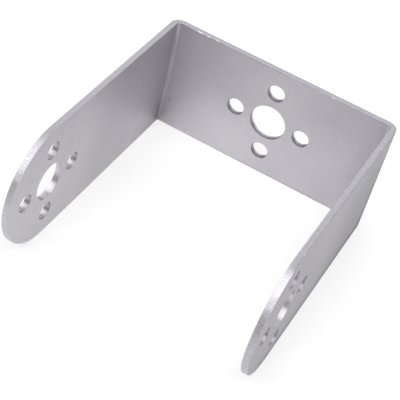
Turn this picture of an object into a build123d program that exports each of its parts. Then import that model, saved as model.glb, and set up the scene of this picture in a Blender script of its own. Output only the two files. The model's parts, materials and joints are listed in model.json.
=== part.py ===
"""Motor mounting bracket: a U folded from one strip of aluminium sheet.

The web joins two parallel arms, each with a full round tip. The web and both arms carry the same
hole pattern: a centre bore with four screw holes round it. The two arms' patterns are in line, so
that a motor or servo can swing between them.

Frame, in millimetres: +Z across the strip, +X from the left arm to the right one, and the arms run
towards -Y. The origin is the centre of the web's bore, in the web's outer face.
"""

import os

from build123d import *

# Driving dimensions
sheet = 1.3  # thickness of the sheet
strip_width = 27.0  # width of the strip, between its two long edges
inner_width = 50.0  # clear gap between the arms
arm_reach = 47.0  # from the web's outer face to the axis through the arms' bores
bend_radius = 1.0  # inside radius of both folds
bore_diameter = 8.2  # centre hole of each pattern
screw_diameter = 3.9  # the small holes round each bore
screw_circle = 15.8  # diameter of the circle that the small holes stand on
screw_count = 4  # small holes round each bore
edge_break = 0.15  # rounding left on the strip's cut edge by blasting

# Sizes that follow
outer_width = inner_width + 2 * sheet
tip_radius = strip_width / 2
seam_tolerance = sheet / 1000

# Planes on the sheet's outer faces, at the centre of each pattern, looking away from the bracket
web_plane = Plane(origin=(0, 0, 0), x_dir=(1, 0, 0), z_dir=(0, 1, 0))
arm_plane = Plane(origin=(outer_width / 2, -arm_reach, 0), x_dir=(0, 1, 0), z_dir=(1, 0, 0))


def hole_pattern():
    """Drills the bore and the ring of screw holes, along the current location's axis."""
    Hole(bore_diameter / 2)
    with PolarLocations(screw_circle / 2, screw_count):
        Hole(screw_diameter / 2)


def runs_along_cut(edge):
    """Tells a rim of the cut edge from a line through the sheet, which is one thickness long."""
    return abs(edge.length - sheet) > seam_tolerance


with BuildPart() as bracket:
    # The strip, folded: the outside of the U, thickened inwards and drawn out across the strip
    with BuildSketch(Plane.XY):
        with BuildLine() as outside:
            Polyline(
                (-outer_width / 2, -arm_reach - tip_radius),
                (-outer_width / 2, 0),
                (outer_width / 2, 0),
                (outer_width / 2, -arm_reach - tip_radius),
            )
            fillet(outside.vertices().group_by(Axis.Y)[-1], bend_radius + sheet)
            offset(amount=sheet, side=Side.RIGHT)
        make_face()
    extrude(amount=strip_width / 2, both=True)

    # The arms' round tips: in side view the strip ends in a half circle about the bores' axis
    with BuildSketch(Plane.YZ):
        with Locations((-arm_reach / 2, 0)):
            Rectangle(arm_reach, strip_width)
        with Locations((-arm_reach, 0)):
            Circle(tip_radius)
    extrude(amount=outer_width / 2, both=True, mode=Mode.INTERSECT)

    # Rounded rims along the whole cut edge
    cut_faces = bracket.faces().filter_by(Axis.Z) + bracket.faces().group_by(Axis.Y)[0]
    fillet(cut_faces.edges().filter_by(runs_along_cut), edge_break)

    # One pattern through the web, and one straight through both arms
    with Locations(web_plane, arm_plane):
        hole_pattern()

bracket.part.label = "bracket"
bracket.part.color = Color(0.66, 0.66, 0.69)

os.makedirs("parts", exist_ok=True)
export_step(bracket.part, "parts/bracket.step")
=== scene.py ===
"""Looks of a motor mounting bracket: one strip of bead-blasted aluminium sheet, folded into a U.

The sheet is worked out as a strip laid flat, with its holes, and then folded. A point of the flat
strip has three parts, all in metres:

    p  along the strip, from the middle of the web towards the right arm
    q  across the strip, upwards
    h  through the sheet, from the inner skin (0) to the outer skin (the sheet's thickness)

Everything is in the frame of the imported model, with the web's outer face at y = 0 and the arms
running towards -y.
"""

import json
import logging
import math
from dataclasses import dataclass, replace
from enum import Enum
from functools import cached_property, partial, reduce
from typing import Any, Iterable, Mapping, Sequence

import bpy
import numpy as np
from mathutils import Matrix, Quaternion, Vector


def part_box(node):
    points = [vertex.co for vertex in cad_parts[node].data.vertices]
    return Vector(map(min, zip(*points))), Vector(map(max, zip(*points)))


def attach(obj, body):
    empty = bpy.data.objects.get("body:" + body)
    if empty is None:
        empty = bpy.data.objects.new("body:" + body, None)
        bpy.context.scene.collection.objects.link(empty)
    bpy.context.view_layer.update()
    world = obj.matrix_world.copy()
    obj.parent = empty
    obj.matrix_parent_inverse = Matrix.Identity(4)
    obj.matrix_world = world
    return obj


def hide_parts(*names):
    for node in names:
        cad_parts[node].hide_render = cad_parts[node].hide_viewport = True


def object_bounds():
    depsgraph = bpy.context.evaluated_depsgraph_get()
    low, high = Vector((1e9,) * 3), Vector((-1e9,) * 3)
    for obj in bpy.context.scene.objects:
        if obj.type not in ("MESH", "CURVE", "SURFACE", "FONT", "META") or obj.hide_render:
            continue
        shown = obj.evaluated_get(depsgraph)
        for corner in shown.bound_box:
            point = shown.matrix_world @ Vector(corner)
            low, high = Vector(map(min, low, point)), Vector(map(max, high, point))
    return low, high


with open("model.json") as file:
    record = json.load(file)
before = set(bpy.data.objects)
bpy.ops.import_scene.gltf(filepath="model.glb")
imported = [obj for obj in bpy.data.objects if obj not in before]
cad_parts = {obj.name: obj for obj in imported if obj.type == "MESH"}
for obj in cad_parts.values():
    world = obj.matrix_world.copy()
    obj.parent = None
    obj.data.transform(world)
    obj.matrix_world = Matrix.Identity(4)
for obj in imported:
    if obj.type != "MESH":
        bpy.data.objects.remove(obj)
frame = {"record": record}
CAD_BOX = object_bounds()

Socket = bpy.types.NodeSocket
Colour = tuple[float, float, float, float]
Term = Socket | float | Colour

MM = 0.001
WHITE: Colour = (1.0, 1.0, 1.0, 1.0)
QUARTER_TURNS = (((1, 0), (0, 1)), ((0, -1), (1, 0)), ((-1, 0), (0, -1)), ((0, 1), (-1, 0)))

logging.basicConfig(level=logging.INFO, format="%(name)s: %(message)s")
log = logging.getLogger("bracket")


class Side(Enum):
    """The two halves of the strip, by the sign of p."""

    LEFT = -1.0
    RIGHT = 1.0


class Finish(Enum):
    """The finishes of the sheet, by the number of their material slot."""

    BLASTED = 0
    CUT = 1
    PUNCHED = 2


class SheetMap(Enum):
    """What the mesh holds for the finishes, by name: two UV maps and two values at each point."""

    UNFOLDED = "unfolded"
    ALONG_CUT = "along_cut"
    MILLED = "milled"
    BRIGHT = "bright"


@dataclass(frozen=True)
class BracketSizes:
    """Sizes of the bracket, in metres.

    Args:
        sheet: thickness of the sheet.
        outer_half: half the width over both arms.
        half_strip: half the width of the strip, and the radius of the arms' tips.
        reach: from the web's outer face to the axis through the arms' bores.
        bore_radius: radius of the centre hole of each pattern.
        screw_radius: radius of the small holes.
        circle_radius: radius of the circle that the small holes stand on.
        bend_radius: inside radius of the folds.
        outer_radius: outside radius of the folds, where the sheet is stretched thin.
        drawn: length of the flat sheet beside each fold that the stretching draws along.
        rim_zone: width of the strip's rims, inside which they are rounded.
        hole_zone: the same for the holes' rims.
    """

    sheet: float
    outer_half: float
    half_strip: float
    reach: float
    bore_radius: float
    screw_radius: float
    circle_radius: float
    bend_radius: float = 0.5 * MM
    outer_radius: float = 2.2 * MM
    drawn: float = 3.0 * MM
    rim_zone: float = 0.25 * MM
    hole_zone: float = 0.06 * MM

    @classmethod
    def from_record(cls, record: Mapping[str, Any]) -> "BracketSizes":
        """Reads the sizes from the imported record's mounts and the node's box.

        Args:
            record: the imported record.

        Returns:
            The bracket's sizes.
        """
        mounts = {mount["name"]: mount for mount in record["mounts"]}
        bore, screws = mounts["right_arm_bore"], mounts["right_arm_screws"]
        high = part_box("bracket")[1]
        return cls(
            sheet=bore["dims"]["length_mm"] * MM,
            outer_half=high[0],
            half_strip=high[2],
            reach=-bore["pos_m"][1],
            bore_radius=bore["dims"]["r_mm"] * MM,
            screw_radius=screws["dims"]["hole_r_mm"] * MM,
            circle_radius=screws["dims"]["pcd_mm"] / 2 * MM,
        )

    @property
    def web_half(self) -> float:
        """Half the flat length of the web, up to where a fold starts."""
        return self.outer_half - self.sheet - self.bend_radius

    @property
    def bend_length(self) -> float:
        """Length of a fold along the strip, at the middle of the sheet."""
        return (self.bend_radius + self.sheet / 2) * math.pi / 2

    @property
    def fold(self) -> tuple[float, float]:
        """Distances from the strip's middle at which a fold starts and ends."""
        return self.web_half, self.web_half + self.bend_length

    @property
    def arm_pattern(self) -> float:
        """Place along the strip of an arm's bore."""
        return self.fold[1] + self.reach - self.sheet - self.bend_radius

    @property
    def face_half(self) -> float:
        """Half the width of the strip's flat face, inside its rounded rims."""
        return self.half_strip - self.rim_zone


@dataclass(frozen=True)
class Patch:
    """A grid of points on the flat strip's surface.

    Args:
        points: rows by columns by (p, q, h).
        normals: outward directions in the same parts.
        along_cut: rows by columns by (distance along the cut, height through the sheet).
        milled: how far a cut was milled, or a hole reamed, at each point, from 0 to 1.
        bright: how much a burr was rubbed bright at each point, with its glint painted in, from 0 to 1.
        finish: the patch's finish.
    """

    points: np.ndarray
    normals: np.ndarray
    along_cut: np.ndarray
    milled: np.ndarray
    bright: np.ndarray
    finish: Finish

    @classmethod
    def plain(cls, points: np.ndarray, normals: np.ndarray, finish: Finish) -> "Patch":
        """Makes a patch that has no place along a cut, and is neither milled nor rubbed bright.

        Args:
            points: rows by columns by (p, q, h).
            normals: outward directions in the same parts.
            finish: the patch's finish.

        Returns:
            The patch.
        """
        none = np.zeros(points.shape[:2])
        along_cut = np.stack([none, points[..., 2]], axis=2)
        return cls(points, normals, along_cut, none, none, finish)

    def mirrored(self) -> "Patch":
        """Gives the same patch on the other half of the strip: p becomes -p."""
        flip = np.array([-1.0, 1.0, 1.0])
        return replace(self, points=self.points * flip, normals=self.normals * flip)


@dataclass(frozen=True)
class UnevenLine:
    """An uneven value along a closed path, such as the width of a burr.

    Args:
        seed: seed of the random values.
        spacing: distance between two random values.
    """

    seed: int
    spacing: float

    def at(self, run: np.ndarray, length: float) -> np.ndarray:
        """Reads the value: random values at equal distances, joined by s = 3 t^2 - 2 t^3.

        Args:
            run: distances along the path. The path closes on itself, so any number will do.
            length: length of the whole path.

        Returns:
            Values from 0 to 1.
        """
        count = round(length / self.spacing)
        values = np.random.default_rng(self.seed).random(count)
        place = run / length * count
        base = np.floor(place)
        step = place - base
        share = 3 * step**2 - 2 * step**3
        number = base.astype(int)
        return values[number % count] * (1 - share) + values[(number + 1) % count] * share


@dataclass(frozen=True)
class RimProfile:
    """The section of a cut edge: a rounded rim, the cut itself and a second rounded rim.

    Args:
        sheet: thickness of the sheet.
        zone: width of both rims, measured in from the cut.
        steps: faces in each rounding.
        rows: faces between the roundings.
    """

    sheet: float
    zone: float
    steps: int
    rows: int

    def along(
        self,
        path: np.ndarray,
        outward: np.ndarray,
        inner_round: np.ndarray,
        outer_round: np.ndarray,
    ) -> tuple[np.ndarray, np.ndarray]:
        """Carries the section along a path, as point = path + out * outward at height h.

        With r the rounding at a place, z the zone, T the sheet and a from 0 to a right angle, the
        inner rim is out = z - r + r sin a, h = r (1 - cos a), the outer rim is
        out = z - r + r cos a, h = T - r (1 - sin a), and the cut between them is straight. The
        outward direction m of the section is turned square to the path's slope t, as
        m - t (m . t) / (t . t).

        Args:
            path: places (p, q) on the rim of the flat face.
            outward: unit directions out of the material, one for each place.
            inner_round: rounding of the rim on the inner skin, for each place.
            outer_round: rounding of the rim on the outer skin, for each place.

        Returns:
            Points (p, q, h) and outward directions, one row for each point of the section.
        """
        turn = np.linspace(0.0, math.pi / 2, self.steps + 1)[:, None]
        sine, cosine = np.sin(turn), np.cos(turn)
        start = np.zeros((1, len(path)))
        inner_out = self.zone - inner_round + inner_round * sine
        inner_h = inner_round * (1 - cosine)
        share = np.linspace(0.0, 1.0, self.rows + 1)[1:-1, None]
        cut_h = inner_round + share * (self.sheet - outer_round - inner_round)
        outer_out = self.zone - outer_round + outer_round * cosine
        outer_h = self.sheet - outer_round * (1 - sine)
        out = np.concatenate([start, inner_out, start + self.zone + 0 * cut_h, outer_out, start])
        height = np.concatenate([start, inner_h, cut_h, outer_h, start + self.sheet])
        lean = np.concatenate([[[0.0]], sine, 1 + 0 * share, cosine, [[0.0]]])
        rise = np.concatenate([[[-1.0]], -cosine, 0 * share, sine, [[1.0]]])
        points = np.concatenate([path + out[..., None] * outward, height[..., None]], axis=2)
        sideways = lean[..., None] * outward
        upright = np.broadcast_to(rise[..., None], points.shape[:2] + (1,))
        square = np.concatenate([sideways, upright], axis=2)
        slope = np.gradient(points, axis=1)
        share = (square * slope).sum(axis=2, keepdims=True) / (slope**2).sum(axis=2, keepdims=True)
        return points, square - share * slope


@dataclass(frozen=True)
class PatternBlock:
    """A block of the strip round one hole pattern, as wide and as long as the strip's face.

    The block is divided into a square cell round the bore and four cells that reach from its sides
    to the block's edge, one round each screw hole. Each cell is a fan from its hole to its outline.

    Args:
        sizes: the bracket's sizes.
        centre: place of the bore along the strip.
        round_tip: whether the half with larger p ends in a half circle.
        segments: faces along each side of the block that is a cut edge.
        joined_segments: faces along each side that the plain strip joins.
        inner_segments: faces along each side of the square cell.
        spokes: faces along the line between two screw cells.
        rings: faces from a hole to its cell's outline.
        wall_steps: faces in each rounding of a hole's wall.
        wall_rows: faces between those roundings.
        wall_round: rounding of the holes' rims, as a share of their zone's width.
    """

    sizes: BracketSizes
    centre: float
    round_tip: bool
    segments: int = 108
    joined_segments: int = 32
    inner_segments: int = 24
    spokes: int = 10
    rings: int = 5
    wall_steps: int = 2
    wall_rows: int = 3
    wall_round: float = 0.8

    def edge(self, toward: np.ndarray) -> np.ndarray:
        """Gives the block's edge out along directions whose larger part is 1.

        Edge = direction on the square sides, and direction / |direction| on the round tip.

        Args:
            toward: directions (p, q) from the bore.

        Returns:
            Places (p, q) from the bore, in metres.
        """
        on_tip = self.round_tip & (toward[..., 0] > 0)
        length = np.where(on_tip, np.linalg.norm(toward, axis=-1), 1.0)
        return self.sizes.face_half * toward / length[..., None]

    def holes(self) -> list[tuple[np.ndarray, float, np.ndarray]]:
        """Lists the block's holes.

        Returns:
            Centre, radius and closed cell outline of each hole, from the strip's middle.
        """
        sizes = self.sizes
        front = self.segments if self.round_tip else self.joined_segments
        counts = (front, self.segments, self.joined_segments, self.segments)
        inner_side = self.side(self.inner_segments)
        ring_gap = sizes.circle_radius - sizes.screw_radius - sizes.bore_radius
        inner_half = sizes.bore_radius + ring_gap / 2
        share = np.linspace(0.0, 1.0, self.spokes + 1)[:, None]
        origin = np.array([self.centre, 0.0])
        found, square = [], []
        for turn, count in zip(np.array(QUARTER_TURNS, dtype=float), counts):
            inner, outer = inner_half * inner_side @ turn.T, self.edge(self.side(count) @ turn.T)
            start = inner[0] + share * (outer[0] - inner[0])
            end = outer[-1] + share * (inner[-1] - outer[-1])
            outline = np.concatenate([start[:-1], outer[:-1], end[:-1], inner[::-1]])
            place = origin + sizes.circle_radius * turn[:, 0]
            found.append((place, sizes.screw_radius, origin + outline))
            square.append(inner[:-1])
        square.append(square[0][:1])
        found.append((origin, sizes.bore_radius, origin + np.concatenate(square)))
        return found

    @staticmethod
    def side(count: int) -> np.ndarray:
        """Divides the side p = 1 of a square, from q = -1 to q = 1, into count equal steps."""
        across = np.linspace(-1.0, 1.0, count + 1)
        return np.stack([np.ones_like(across), across], axis=1)

    def faces(self) -> list[np.ndarray]:
        """Fans each cell out from its hole: point = rim + t (outline - rim), with t from 0 to 1.

        Returns:
            One grid of (p, q) for each cell.
        """
        share = np.linspace(0.0, 1.0, self.rings + 1)[:, None, None]
        grids = []
        for place, radius, outline in self.holes():
            rim = self.rim(place, radius, outline)
            grids.append(rim[None] + share * (outline - rim)[None])
        return grids

    def rim(self, place: np.ndarray, radius: float, outline: np.ndarray) -> np.ndarray:
        """Gives the rim of the flat face round a hole, with a point towards each outline point.

        Args:
            place: centre of the hole.
            radius: radius of the hole.
            outline: the closed outline of the hole's cell.

        Returns:
            Places (p, q) on the rim.
        """
        toward = outline - place
        unit = toward / np.linalg.norm(toward, axis=1, keepdims=True)
        return place + (radius + self.sizes.hole_zone) * unit

    def walls(self) -> list[Patch]:
        """Makes the walls of the block's holes. The bores' walls count as reamed.

        Returns:
            One patch for each hole.
        """
        zone = self.sizes.hole_zone
        profile = RimProfile(self.sizes.sheet, zone, self.wall_steps, self.wall_rows)
        patches = []
        for place, radius, outline in self.holes():
            rim = self.rim(place, radius, outline)
            inward = (place - rim) / np.linalg.norm(place - rim, axis=1, keepdims=True)
            rounding = np.full(len(rim), self.wall_round * zone)
            points, normals = profile.along(rim, inward, rounding, rounding)
            angle = np.unwrap(np.arctan2(inward[:, 1], inward[:, 0]))
            along_cut = np.stack(np.broadcast_arrays(radius * angle, points[..., 2]), axis=2)
            reamed = np.full(points.shape[:2], float(radius == self.sizes.bore_radius))
            wall = Patch.plain(points, normals, Finish.PUNCHED)
            patches.append(replace(wall, along_cut=along_cut, milled=reamed))
        return patches


@dataclass(frozen=True)
class Glint:
    """A bright line along a rim: strength * (peak - |depth - the line's| / fade).

    Args:
        depth: how far the line's middle lies inside the nearer skin.
        fade: length over which it fades on each side.
        peak: strength at the middle, before it is held between 0 and 1.
        strength: strength after that.
    """

    depth: float
    fade: float
    peak: float
    strength: float = 1.0

    def at(self, depth: np.ndarray) -> np.ndarray:
        """Gives the line's strength at depths inside the nearer skin."""
        return self.strength * np.clip(self.peak - np.abs(depth - self.depth) / self.fade, 0.0, 1.0)


@dataclass(frozen=True)
class EdgeWear:
    """What the press and handling left on the strip's cut edge.

    The inner rim is crisp and a little uneven, and the outer rim is pressed round. The tips were
    milled afterwards, which left both their rims crisp. Here and there a burr was rubbed bright,
    and its glint is painted in as brighter colour.

    Args:
        sizes: the bracket's sizes.
        length: length of the whole cut edge.
        crisp: smallest and largest rounding of the inner rim.
        pressed: smallest and largest rounding of the outer rim.
        fine: the inner rim's fine unevenness.
        coarse: its coarse unevenness, by which the fine one comes and goes.
        least_fine: how much of the fine one is left where the coarse one is least.
        slow: the outer rim's unevenness.
        milled_inner: what milling takes from the inner rim's rounding, as a share of it.
        milled_outer: rounding of a milled outer rim, as a share of the unmilled inner rim's.
        left_milling: degrees from the straight edge's direction to the one where the left tip's
            milling starts, and how many more it takes to come in.
        right_milling: the same for the right tip.
        deburring: degrees from straight up where the deburring of a tip's lower part starts, and
            how many more it takes to come in.
        deburred: what the deburring adds to the rounding of one rim of each tip.
        rubbed: the stretches of the web's upper inner rim where a burr was rubbed bright and its
        glint is painted, each by the distances along the cut where it starts and ends.
        rub_fade: length over which such a stretch fades at its ends.
        rub_rounding: what the rubbing adds to the rounding of the inner rim.
        inner_glint: the bright line where a burr was rubbed.
        specks: unevenness that scatters small specks along the right arm's outer rim.
        speck_range: the values of it between which a speck comes in.
        outer_glint: the bright line in which those specks lie.
    """

    sizes: BracketSizes
    length: float
    crisp: tuple[float, float] = (0.02 * MM, 0.20 * MM)
    pressed: tuple[float, float] = (0.17 * MM, 0.22 * MM)
    fine: UnevenLine = UnevenLine(11, 0.5 * MM)
    coarse: UnevenLine = UnevenLine(12, 2.3 * MM)
    least_fine: float = 0.4
    slow: UnevenLine = UnevenLine(13, 1.4 * MM)
    milled_inner: float = 0.5
    milled_outer: float = 0.5
    left_milling: tuple[float, float] = (11.0, 15.0)
    right_milling: tuple[float, float] = (14.0, 1.5)
    deburring: tuple[float, float] = (56.0, 14.0)
    deburred: float = 0.15 * MM
    rubbed: tuple[tuple[float, float], ...] = (
        (-20.6 * MM, -18.8 * MM),
        (-18.2 * MM, -17.1 * MM),
        (-16.2 * MM, -15.1 * MM),
        (-3.0 * MM, -2.5 * MM),
        (0.1 * MM, 0.5 * MM),
        (11.4 * MM, 12.3 * MM),
    )
    rub_fade: float = 0.5 * MM
    rub_rounding: float = 0.08 * MM
    inner_glint: Glint = Glint(0.05 * MM, 0.05 * MM, 1.4)
    specks: UnevenLine = UnevenLine(16, 0.3 * MM)
    speck_range: tuple[float, float] = (0.74, 1.04)
    outer_glint: Glint = Glint(0.22 * MM, 0.12 * MM, 1.5, 0.8)

    def roundings(
        self,
        run: np.ndarray,
        milled: np.ndarray,
        from_up: np.ndarray,
        side: Side,
    ) -> tuple[np.ndarray, np.ndarray]:
        """Gives the rims' roundings: low + (high - low) * uneven value, and less where milled.

        The inner rim's uneven value is fine^2 * (least + (1 - least) * coarse). The lower part of
        each tip is deburred on one rim: the left tip on its inner one, the right tip on its outer one.

        Args:
            run: distances along the cut, below 0 on the left half.
            milled: how far the cut was milled there.
            from_up: degrees from straight up to the outward direction.
            side: which half it is.

        Returns:
            The inner and the outer rounding at each place.
        """
        lines = (self.fine, self.coarse, self.slow)
        fine, coarse, slow = (line.at(run, self.length) for line in lines)
        uneven = fine**2 * (self.least_fine + (1 - self.least_fine) * coarse)
        inner = self.crisp[0] + (self.crisp[1] - self.crisp[0]) * uneven
        outer = self.pressed[0] + (self.pressed[1] - self.pressed[0]) * slow
        outer = outer + milled * (self.milled_outer * inner - outer)
        inner = inner * (1 - self.milled_inner * milled) + self.rub_rounding * self.rubbing(run)
        start, fade = self.deburring
        extra = milled * self.deburred * np.clip((from_up - start) / fade, 0.0, 1.0)
        if side is Side.LEFT:
            return inner + extra, outer
        return inner, outer + extra

    def rubbing(self, run: np.ndarray) -> np.ndarray:
        """Gives how far a burr was rubbed off: min(run - start, end - run) / fade, from 0 to 1.

        Args:
            run: distances along the cut, below 0 on the left half.

        Returns:
            Values from 0 to 1.
        """
        inside = [np.minimum(run - start, end - run) for start, end in self.rubbed]
        return np.clip(np.max(inside, axis=0) / self.rub_fade, 0.0, 1.0)

    def milling(self, from_up: np.ndarray, side: Side) -> np.ndarray:
        """Gives how far a tip was milled: (turned - start) / fade, from 0 to 1.

        Turned is the angle between the outward direction and the nearer straight edge's one.

        Args:
            from_up: degrees from straight up to the outward direction.
            side: which tip.

        Returns:
            Values from 0 to 1.
        """
        start, fade = self.right_milling if side is Side.RIGHT else self.left_milling
        turned = np.minimum(from_up, 180.0 - from_up)
        return np.clip((turned - start) / fade, 0.0, 1.0)

    def brightness(self, place: np.ndarray, run: np.ndarray, height: np.ndarray) -> np.ndarray:
        """Gives how bright a burr was rubbed, with its painted glint.

        There are a few glints on the web's inner rim and small specks on the right arm's outer one,
        painted in as brighter colour.
        Specks = (uneven value - low) / (high - low), held between 0 and 1.

        Args:
            place: places along the strip, below 0 on the left half.
            run: distances along the cut, in the same order.
            height: heights through the sheet, one row for each point of the section.

        Returns:
            Strengths from 0 to 1, in the shape of the heights.
        """
        low, high = self.speck_range
        specks = np.clip((self.specks.at(run, self.length) - low) / (high - low), 0.0, 1.0)
        on_arm = place > self.sizes.fold[1]
        inner = self.rubbing(run) * self.inner_glint.at(height)
        return inner + specks * on_arm * self.outer_glint.at(self.sizes.sheet - height)


class FoldedStrip:
    """The bracket's sheet: a flat strip with three hole patterns, folded at two lines.

    Args:
        sizes: the bracket's sizes.
    """

    SIDE_COLUMNS = 42
    BEND_COLUMNS = 16
    ARM_COLUMNS = 110
    RIM_STEPS = 4
    CUT_ROWS = 5
    WELD_STEP = 1.0e-7

    def __init__(self, sizes: BracketSizes) -> None:
        """Keeps the sizes and lays out the two kinds of pattern block."""
        self.sizes = sizes
        self.web_block = PatternBlock(sizes, 0.0, round_tip=False)
        self.arm_block = PatternBlock(sizes, sizes.arm_pattern, round_tip=True)

    def fold(self, flat: np.ndarray, directions: np.ndarray) -> tuple[np.ndarray, np.ndarray]:
        """Folds points of the flat strip, and directions at them, into the U.

        With s = |p|, a the web's half length, b the bend's length, R and R' its inside and outside
        radius and T the sheet: radius = R + (R' - R) h / T, pull = h - (radius - R),
        angle = 90 degrees * clip((s - a) / b, 0, 1),
        x = side (min(s, a) + pull before + radius sin angle),
        y = -(T + R) + pull after + radius cos angle - max(s - a - b, 0) and z = q. The pull fades
        to nothing over a short length of the flat sheet, before the fold in x and after it in y.
        The strip's direction is (side cos angle, -sin angle), the sheet's (side sin angle, cos angle).

        Args:
            flat: points (p, q, h).
            directions: directions in the same parts.

        Returns:
            The points and the directions as x, y, z.
        """
        sizes = self.sizes
        along, across, height = np.moveaxis(flat, -1, 0)
        side = np.where(along < 0, -1.0, 1.0)
        distance = np.abs(along)
        start, end = sizes.fold
        angle = np.clip((distance - start) / sizes.bend_length, 0.0, 1.0) * math.pi / 2
        past = np.maximum(distance - end, 0.0)
        radius = sizes.bend_radius + (sizes.outer_radius - sizes.bend_radius) * height / sizes.sheet
        pull = height - (radius - sizes.bend_radius)
        before = pull * np.clip((distance - start + sizes.drawn) / sizes.drawn, 0.0, 1.0)
        after = pull * np.clip(1 - past / sizes.drawn, 0.0, 1.0)
        x = side * (np.minimum(distance, start) + before + radius * np.sin(angle))
        y = radius * np.cos(angle) + after - sizes.sheet - sizes.bend_radius - past
        run, up, through = np.moveaxis(directions, -1, 0)
        run = side * run
        turned_x = side * (run * np.cos(angle) + through * np.sin(angle))
        turned_y = through * np.cos(angle) - run * np.sin(angle)
        return np.stack([x, y, across], axis=-1), np.stack([turned_x, turned_y, up], axis=-1)

    def columns(self) -> np.ndarray:
        """Lists the columns of points on the right half of the strip.

        Returns:
            Their places along the strip, from its middle to the arm's bore.
        """
        sizes = self.sizes
        half = sizes.face_half
        quarter = half * np.linspace(0.0, 1.0, self.web_block.segments // 2 + 1)
        side = np.linspace(half, sizes.web_half, self.SIDE_COLUMNS + 1)
        bend = np.linspace(*sizes.fold, self.BEND_COLUMNS + 1)
        arm = np.linspace(sizes.fold[1], sizes.arm_pattern - half, self.ARM_COLUMNS + 1)
        block = sizes.arm_pattern - quarter[::-1]
        return np.concatenate([quarter, side[1:], bend[1:], arm[1:], block[1:]])

    def plain_face(self) -> np.ndarray:
        """Grids the stretch between the web's block and the arm's block, fold included.

        Returns:
            Rows by columns by (p, q).
        """
        sizes = self.sizes
        places = self.columns()
        reach = sizes.arm_pattern - sizes.face_half
        tolerance = sizes.rim_zone / 10
        places = places[(places > sizes.face_half - tolerance) & (places < reach + tolerance)]
        across = sizes.face_half * np.linspace(-1.0, 1.0, self.web_block.joined_segments + 1)
        return np.stack(np.meshgrid(places, across), axis=-1)

    def skins(self, grid: np.ndarray) -> list[Patch]:
        """Puts a grid of (p, q) on both skins of the sheet.

        Args:
            grid: rows by columns by (p, q).

        Returns:
            The inner and the outer patch.
        """
        patches = []
        for height, way in ((0.0, -1.0), (self.sizes.sheet, 1.0)):
            shape = grid.shape[:2]
            points = np.concatenate([grid, np.full(shape + (1,), height)], axis=2)
            normals = np.zeros(shape + (3,))
            normals[..., 2] = way
            patches.append(Patch.plain(points, normals, Finish.BLASTED))
        return patches

    def outline(self, side: Side) -> Patch:
        """Makes the cut edge round one half: along the top, round the tip and back below.

        Args:
            side: which half it is for. Both are worked out as the right one.

        Returns:
            The cut edge, for the right half.
        """
        sizes, half = self.sizes, self.sizes.face_half
        places = self.columns()
        top = np.stack([places, np.full_like(places, half)], axis=1)
        up = np.broadcast_to([0.0, 1.0], top.shape)
        front = self.arm_block.side(self.arm_block.segments)[::-1]
        upper = front[: self.arm_block.segments // 2 + 1, ::-1][::-1]
        toward = np.concatenate([upper[1:], front[1:], (upper * [1, -1])[::-1][1:-1]])
        round_out = toward / np.linalg.norm(toward, axis=1, keepdims=True)
        tip = np.array([sizes.arm_pattern, 0.0]) + half * round_out
        path = np.concatenate([top, tip, (top * [1, -1])[::-1]])
        outward = np.concatenate([up, round_out, (up * [1, -1])[::-1]])
        steps = np.linalg.norm(np.diff(path + sizes.rim_zone * outward, axis=0), axis=1)
        run = side.value * np.concatenate([[0.0], np.cumsum(steps)])
        wear = EdgeWear(sizes, length=2 * abs(run[-1]))
        profile = RimProfile(sizes.sheet, sizes.rim_zone, self.RIM_STEPS, self.CUT_ROWS)
        from_up = np.degrees(np.arccos(np.clip(outward[:, 1], -1.0, 1.0)))
        milled = wear.milling(from_up, side)
        rounding = wear.roundings(run, milled, from_up, side)
        points, normals = profile.along(path, outward, *rounding)
        along_cut = np.stack(np.broadcast_arrays(run, points[..., 2]), axis=2)
        bright = (1 - milled) * wear.brightness(side.value * path[:, 0], run, points[..., 2])
        milled = np.broadcast_to(milled, points.shape[:2])
        return Patch(points, normals, along_cut, milled, bright, Finish.CUT)

    def patches(self) -> list[Patch]:
        """Makes every patch of the sheet's surface.

        Returns:
            The patches of the right half, of the left half and of the web's block.
        """
        grids = self.arm_block.faces() + [self.plain_face()]
        arm = [patch for grid in grids for patch in self.skins(grid)] + self.arm_block.walls()
        right = arm + [self.outline(Side.RIGHT)]
        left = [patch.mirrored() for patch in arm + [self.outline(Side.LEFT)]]
        web = [patch for grid in self.web_block.faces() for patch in self.skins(grid)]
        return right + left + web + self.web_block.walls()

    def build(self, name: str) -> bpy.types.Object:
        """Folds the patches, welds them into one closed mesh and makes the object.

        Args:
            name: the piece's name.

        Returns:
            The new object, linked to the scene.
        """
        patches = self.patches()
        folded = [self.fold(patch.points, patch.normals) for patch in patches]
        starts = np.cumsum([0] + [patch.milled.size for patch in patches])
        grids = [self.grid_quads(*grid) + start for grid, start in zip(folded, starts)]
        finishes = [np.full(len(grid), patch.finish.value) for grid, patch in zip(grids, patches)]
        quads = np.concatenate(grids)
        points = self.listed(place for place, _ in folded)
        keys = np.round(points / self.WELD_STEP).astype(np.int64)
        _, first, welded = np.unique(keys, axis=0, return_index=True, return_inverse=True)
        welded = welded.reshape(-1)
        total = np.zeros((len(first), 3))
        np.add.at(total, welded, self.listed(direction for _, direction in folded))
        mesh = bpy.data.meshes.new(name)
        mesh.from_pydata(points[first].tolist(), [], welded[quads].tolist())
        maps = {
            SheetMap.ALONG_CUT: self.listed(patch.along_cut for patch in patches),
            SheetMap.UNFOLDED: self.listed(patch.points[..., :2] for patch in patches),
        }
        for sheet_map, values in maps.items():
            layer = mesh.uv_layers.new(name=sheet_map.value)
            layer.data.foreach_set("uv", values[quads.reshape(-1)].astype(np.float32).reshape(-1))
        marks = {
            SheetMap.MILLED: self.listed(patch.milled[..., None] for patch in patches),
            SheetMap.BRIGHT: self.listed(patch.bright[..., None] for patch in patches),
        }
        for sheet_map, values in marks.items():
            most = np.zeros(len(first))
            np.maximum.at(most, welded, values[:, 0])
            attribute = mesh.attributes.new(sheet_map.value, "FLOAT", "POINT")
            attribute.data.foreach_set("value", most.astype(np.float32))
        mesh.polygons.foreach_set("material_index", np.concatenate(finishes).astype(np.int32))
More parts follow.
